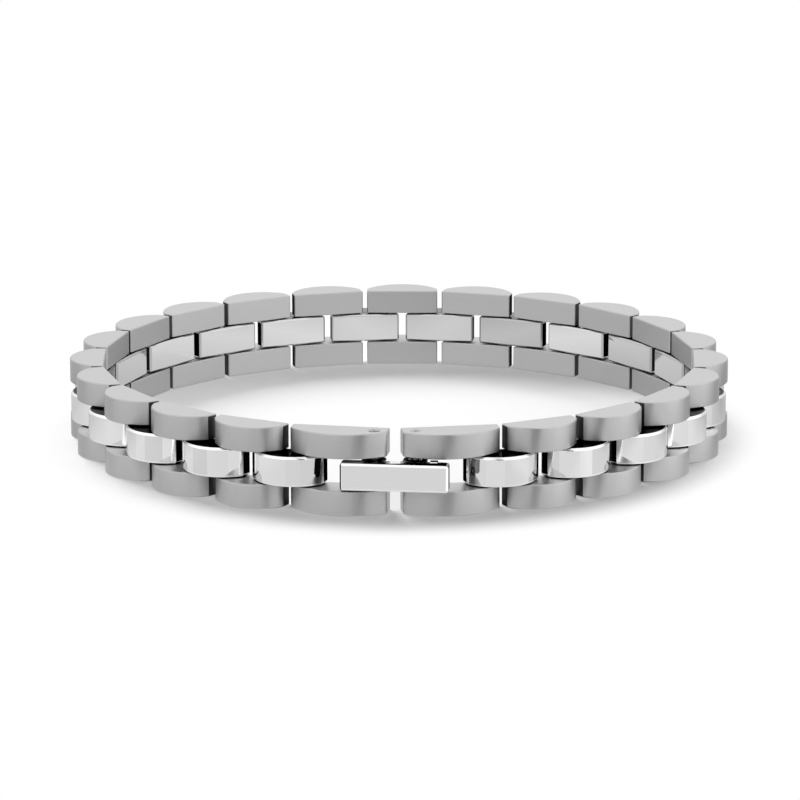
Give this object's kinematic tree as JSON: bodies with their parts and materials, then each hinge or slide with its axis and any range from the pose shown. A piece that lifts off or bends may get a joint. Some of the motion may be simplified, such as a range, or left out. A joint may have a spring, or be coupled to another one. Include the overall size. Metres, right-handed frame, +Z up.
{
  "type": "link watch bracelet",
  "caption": "Three-row link bracelet closed in a ring: satin D-shaped outer blocks, polished centre links half a pitch along, cross pins, and a latch bar held by a spring bar.",
  "frame": {"origin": "centre of the bounding box, on the surface that the closed band lies on, near the middle of the ring", "axes": "+Z up, across the band's width; -Y towards the clasp; +X to the right of someone who faces the clasp from outside"},
  "size_m": [0.0746, 0.0754, 0.009],
  "materials": {
    "satin_steel": "satin brushed stainless steel",
    "polished_steel": "mirror polished stainless steel",
    "pin_steel": "turned stainless steel",
    "spring_steel": "drawn spring wire"
  },
  "bodies": {
    "end_left": {"end_left_lower": "satin_steel", "end_left_upper": "satin_steel", "end_left_pin": "pin_steel", "pivot_pin": "pin_steel"},
    "outer_link_01": {"outer_link_01": "satin_steel"},
    "outer_link_02": {"outer_link_02": "satin_steel"},
    "outer_link_03": {"outer_link_03": "satin_steel"},
    "outer_link_04": {"outer_link_04": "satin_steel"},
    "outer_link_05": {"outer_link_05": "satin_steel"},
    "outer_link_06": {"outer_link_06": "satin_steel"},
    "outer_link_07": {"outer_link_07": "satin_steel"},
    "outer_link_08": {"outer_link_08": "satin_steel"},
    "outer_link_09": {"outer_link_09": "satin_steel"},
    "outer_link_10": {"outer_link_10": "satin_steel"},
    "outer_link_11": {"outer_link_11": "satin_steel"},
    "outer_link_12": {"outer_link_12": "satin_steel"},
    "outer_link_13": {"outer_link_13": "satin_steel"},
    "outer_link_14": {"outer_link_14": "satin_steel"},
    "outer_link_15": {"outer_link_15": "satin_steel"},
    "outer_link_16": {"outer_link_16": "satin_steel"},
    "outer_link_17": {"outer_link_17": "satin_steel"},
    "outer_link_18": {"outer_link_18": "satin_steel"},
    "outer_link_19": {"outer_link_19": "satin_steel"},
    "outer_link_20": {"outer_link_20": "satin_steel"},
    "outer_link_21": {"outer_link_21": "satin_steel"},
    "centre_link_01": {"centre_link_01": "polished_steel"},
    "centre_link_02": {"centre_link_02": "polished_steel"},
    "centre_link_03": {"centre_link_03": "polished_steel"},
    "centre_link_04": {"centre_link_04": "polished_steel"},
    "centre_link_05": {"centre_link_05": "polished_steel"},
    "centre_link_06": {"centre_link_06": "polished_steel"},
    "centre_link_07": {"centre_link_07": "polished_steel"},
    "centre_link_08": {"centre_link_08": "polished_steel"},
    "centre_link_09": {"centre_link_09": "polished_steel"},
    "centre_link_10": {"centre_link_10": "polished_steel"},
    "centre_link_11": {"centre_link_11": "polished_steel"},
    "centre_link_12": {"centre_link_12": "polished_steel"},
    "centre_link_13": {"centre_link_13": "polished_steel"},
    "centre_link_14": {"centre_link_14": "polished_steel"},
    "centre_link_15": {"centre_link_15": "polished_steel"},
    "centre_link_16": {"centre_link_16": "polished_steel"},
    "centre_link_17": {"centre_link_17": "polished_steel"},
    "centre_link_18": {"centre_link_18": "polished_steel"},
    "centre_link_19": {"centre_link_19": "polished_steel"},
    "centre_link_20": {"centre_link_20": "polished_steel"},
    "centre_link_21": {"centre_link_21": "polished_steel"},
    "centre_link_22": {"centre_link_22": "polished_steel"},
    "end_right": {"end_right_lower": "satin_steel", "end_right_upper": "satin_steel", "end_right_pin": "pin_steel"},
    "latch": {"latch_bar": "polished_steel", "spring_bar_tube": "pin_steel", "spring_bar_tips": "pin_steel", "spring_bar_coil": "spring_steel"}
  },
  "joints": [
    {"name": "latch_pivot", "type": "hinge", "parent": "end_left", "child": "latch", "pos_m": [-0.0022, -0.03445, 0.0045], "axis": [0, 0, 1], "range_deg": [-85, 0], "deforming": ["spring_bar_tips", "spring_bar_coil"]},
    {"name": "left_hinge_01", "type": "hinge", "parent": "outer_link_11", "child": "centre_link_11", "pos_m": [-0.00233, 0.03526, 0.0045], "axis": [0, 0, 1], "range_deg": [-18, 0]},
    {"name": "right_hinge_01", "type": "hinge", "parent": "outer_link_11", "child": "centre_link_12", "pos_m": [0.00233, 0.03526, 0.0045], "axis": [0, 0, 1], "range_deg": [0, 18]},
    {"name": "left_hinge_02", "type": "hinge", "parent": "centre_link_11", "child": "outer_link_10", "pos_m": [-0.00695, 0.03464, 0.0045], "axis": [0, 0, 1], "range_deg": [-18, 0]},
    {"name": "right_hinge_02", "type": "hinge", "parent": "centre_link_12", "child": "outer_link_12", "pos_m": [0.00695, 0.03464, 0.0045], "axis": [0, 0, 1], "range_deg": [0, 18]},
    {"name": "left_hinge_03", "type": "hinge", "parent": "outer_link_10", "child": "centre_link_10", "pos_m": [-0.01144, 0.03341, 0.0045], "axis": [0, 0, 1], "range_deg": [-18, 0]},
    {"name": "right_hinge_03", "type": "hinge", "parent": "outer_link_12", "child": "centre_link_13", "pos_m": [0.01144, 0.03341, 0.0045], "axis": [0, 0, 1], "range_deg": [0, 18]},
    {"name": "left_hinge_04", "type": "hinge", "parent": "centre_link_10", "child": "outer_link_09", "pos_m": [-0.01573, 0.03159, 0.0045], "axis": [0, 0, 1], "range_deg": [-18, 0]},
    {"name": "right_hinge_04", "type": "hinge", "parent": "centre_link_13", "child": "outer_link_13", "pos_m": [0.01573, 0.03159, 0.0045], "axis": [0, 0, 1], "range_deg": [0, 18]},
    {"name": "left_hinge_05", "type": "hinge", "parent": "outer_link_09", "child": "centre_link_09", "pos_m": [-0.01975, 0.02922, 0.0045], "axis": [0, 0, 1], "range_deg": [-18, 0]},
    {"name": "right_hinge_05", "type": "hinge", "parent": "outer_link_13", "child": "centre_link_14", "pos_m": [0.01975, 0.02922, 0.0045], "axis": [0, 0, 1], "range_deg": [0, 18]},
    {"name": "left_hinge_06", "type": "hinge", "parent": "centre_link_09", "child": "outer_link_08", "pos_m": [-0.02341, 0.02633, 0.0045], "axis": [0, 0, 1], "range_deg": [-18, 0]},
    {"name": "right_hinge_06", "type": "hinge", "parent": "centre_link_14", "child": "outer_link_14", "pos_m": [0.02341, 0.02633, 0.0045], "axis": [0, 0, 1], "range_deg": [0, 18]},
    {"name": "left_hinge_07", "type": "hinge", "parent": "outer_link_08", "child": "centre_link_08", "pos_m": [-0.02665, 0.02299, 0.0045], "axis": [0, 0, 1], "range_deg": [-18, 0]},
    {"name": "right_hinge_07", "type": "hinge", "parent": "outer_link_14", "child": "centre_link_15", "pos_m": [0.02665, 0.02299, 0.0045], "axis": [0, 0, 1], "range_deg": [0, 18]},
    {"name": "left_hinge_08", "type": "hinge", "parent": "centre_link_08", "child": "outer_link_07", "pos_m": [-0.02942, 0.01924, 0.0045], "axis": [0, 0, 1], "range_deg": [-18, 0]},
    {"name": "right_hinge_08", "type": "hinge", "parent": "centre_link_15", "child": "outer_link_15", "pos_m": [0.02942, 0.01924, 0.0045], "axis": [0, 0, 1], "range_deg": [0, 18]},
    {"name": "left_hinge_09", "type": "hinge", "parent": "outer_link_07", "child": "centre_link_07", "pos_m": [-0.03166, 0.01515, 0.0045], "axis": [0, 0, 1], "range_deg": [-18, 0]},
    {"name": "right_hinge_09", "type": "hinge", "parent": "outer_link_15", "child": "centre_link_16", "pos_m": [0.03166, 0.01515, 0.0045], "axis": [0, 0, 1], "range_deg": [0, 18]},
    {"name": "left_hinge_10", "type": "hinge", "parent": "centre_link_07", "child": "outer_link_06", "pos_m": [-0.03334, 0.01081, 0.0045], "axis": [0, 0, 1], "range_deg": [-18, 0]},
    {"name": "right_hinge_10", "type": "hinge", "parent": "centre_link_16", "child": "outer_link_16", "pos_m": [0.03334, 0.01081, 0.0045], "axis": [0, 0, 1], "range_deg": [0, 18]},
    {"name": "left_hinge_11", "type": "hinge", "parent": "outer_link_06", "child": "centre_link_06", "pos_m": [-0.03443, 0.00628, 0.0045], "axis": [0, 0, 1], "range_deg": [-18, 0]},
    {"name": "right_hinge_11", "type": "hinge", "parent": "outer_link_16", "child": "centre_link_17", "pos_m": [0.03443, 0.00628, 0.0045], "axis": [0, 0, 1], "range_deg": [0, 18]},
    {"name": "left_hinge_12", "type": "hinge", "parent": "centre_link_06", "child": "outer_link_05", "pos_m": [-0.03491, 0.00164, 0.0045], "axis": [0, 0, 1], "range_deg": [-18, 0]},
    {"name": "right_hinge_12", "type": "hinge", "parent": "centre_link_17", "child": "outer_link_17", "pos_m": [0.03491, 0.00164, 0.0045], "axis": [0, 0, 1], "range_deg": [0, 18]},
    {"name": "left_hinge_13", "type": "hinge", "parent": "outer_link_05", "child": "centre_link_05", "pos_m": [-0.03476, -0.00302, 0.0045], "axis": [0, 0, 1], "range_deg": [-18, 0]},
    {"name": "right_hinge_13", "type": "hinge", "parent": "outer_link_17", "child": "centre_link_18", "pos_m": [0.03476, -0.00302, 0.0045], "axis": [0, 0, 1], "range_deg": [0, 18]},
    {"name": "left_hinge_14", "type": "hinge", "parent": "centre_link_05", "child": "outer_link_04", "pos_m": [-0.03399, -0.00761, 0.0045], "axis": [0, 0, 1], "range_deg": [-18, 0]},
    {"name": "right_hinge_14", "type": "hinge", "parent": "centre_link_18", "child": "outer_link_18", "pos_m": [0.03399, -0.00761, 0.0045], "axis": [0, 0, 1], "range_deg": [0, 18]},
    {"name": "left_hinge_15", "type": "hinge", "parent": "outer_link_04", "child": "centre_link_04", "pos_m": [-0.03262, -0.01207, 0.0045], "axis": [0, 0, 1], "range_deg": [-18, 0]},
    {"name": "right_hinge_15", "type": "hinge", "parent": "outer_link_18", "child": "centre_link_19", "pos_m": [0.03262, -0.01207, 0.0045], "axis": [0, 0, 1], "range_deg": [0, 18]},
    {"name": "left_hinge_16", "type": "hinge", "parent": "centre_link_04", "child": "outer_link_03", "pos_m": [-0.03067, -0.0163, 0.0045], "axis": [0, 0, 1], "range_deg": [-18, 0]},
    {"name": "right_hinge_16", "type": "hinge", "parent": "centre_link_19", "child": "outer_link_19", "pos_m": [0.03067, -0.0163, 0.0045], "axis": [0, 0, 1], "range_deg": [0, 18]},
    {"name": "left_hinge_17", "type": "hinge", "parent": "outer_link_03", "child": "centre_link_03", "pos_m": [-0.02818, -0.02023, 0.0045], "axis": [0, 0, 1], "range_deg": [-18, 0]},
    {"name": "right_hinge_17", "type": "hinge", "parent": "outer_link_19", "child": "centre_link_20", "pos_m": [0.02818, -0.02023, 0.0045], "axis": [0, 0, 1], "range_deg": [0, 18]},
    {"name": "left_hinge_18", "type": "hinge", "parent": "centre_link_03", "child": "outer_link_02", "pos_m": [-0.02518, -0.0238, 0.0045], "axis": [0, 0, 1], "range_deg": [-18, 0]},
    {"name": "right_hinge_18", "type": "hinge", "parent": "centre_link_20", "child": "outer_link_20", "pos_m": [0.02518, -0.0238, 0.0045], "axis": [0, 0, 1], "range_deg": [0, 18]},
    {"name": "left_hinge_19", "type": "hinge", "parent": "outer_link_02", "child": "centre_link_02", "pos_m": [-0.02173, -0.02694, 0.0045], "axis": [0, 0, 1], "range_deg": [-18, 0]},
    {"name": "right_hinge_19", "type": "hinge", "parent": "outer_link_20", "child": "centre_link_21", "pos_m": [0.02173, -0.02694, 0.0045], "axis": [0, 0, 1], "range_deg": [0, 18]},
    {"name": "left_hinge_20", "type": "hinge", "parent": "centre_link_02", "child": "outer_link_01", "pos_m": [-0.0179, -0.02959, 0.0045], "axis": [0, 0, 1], "range_deg": [-18, 0]},
    {"name": "right_hinge_20", "type": "hinge", "parent": "centre_link_21", "child": "outer_link_21", "pos_m": [0.0179, -0.02959, 0.0045], "axis": [0, 0, 1], "range_deg": [0, 18]},
    {"name": "left_hinge_21", "type": "hinge", "parent": "outer_link_01", "child": "centre_link_01", "pos_m": [-0.01375, -0.0317, 0.0045], "axis": [0, 0, 1], "range_deg": [-18, 0]},
    {"name": "right_hinge_21", "type": "hinge", "parent": "outer_link_21", "child": "centre_link_22", "pos_m": [0.01375, -0.0317, 0.0045], "axis": [0, 0, 1], "range_deg": [0, 18]},
    {"name": "left_hinge_22", "type": "hinge", "parent": "centre_link_01", "child": "end_left", "pos_m": [-0.00935, -0.03325, 0.0045], "axis": [0, 0, 1], "range_deg": [-18, 0]},
    {"name": "right_hinge_22", "type": "hinge", "parent": "centre_link_22", "child": "end_right", "pos_m": [0.00935, -0.03325, 0.0045], "axis": [0, 0, 1], "range_deg": [0, 18]}
  ]
}
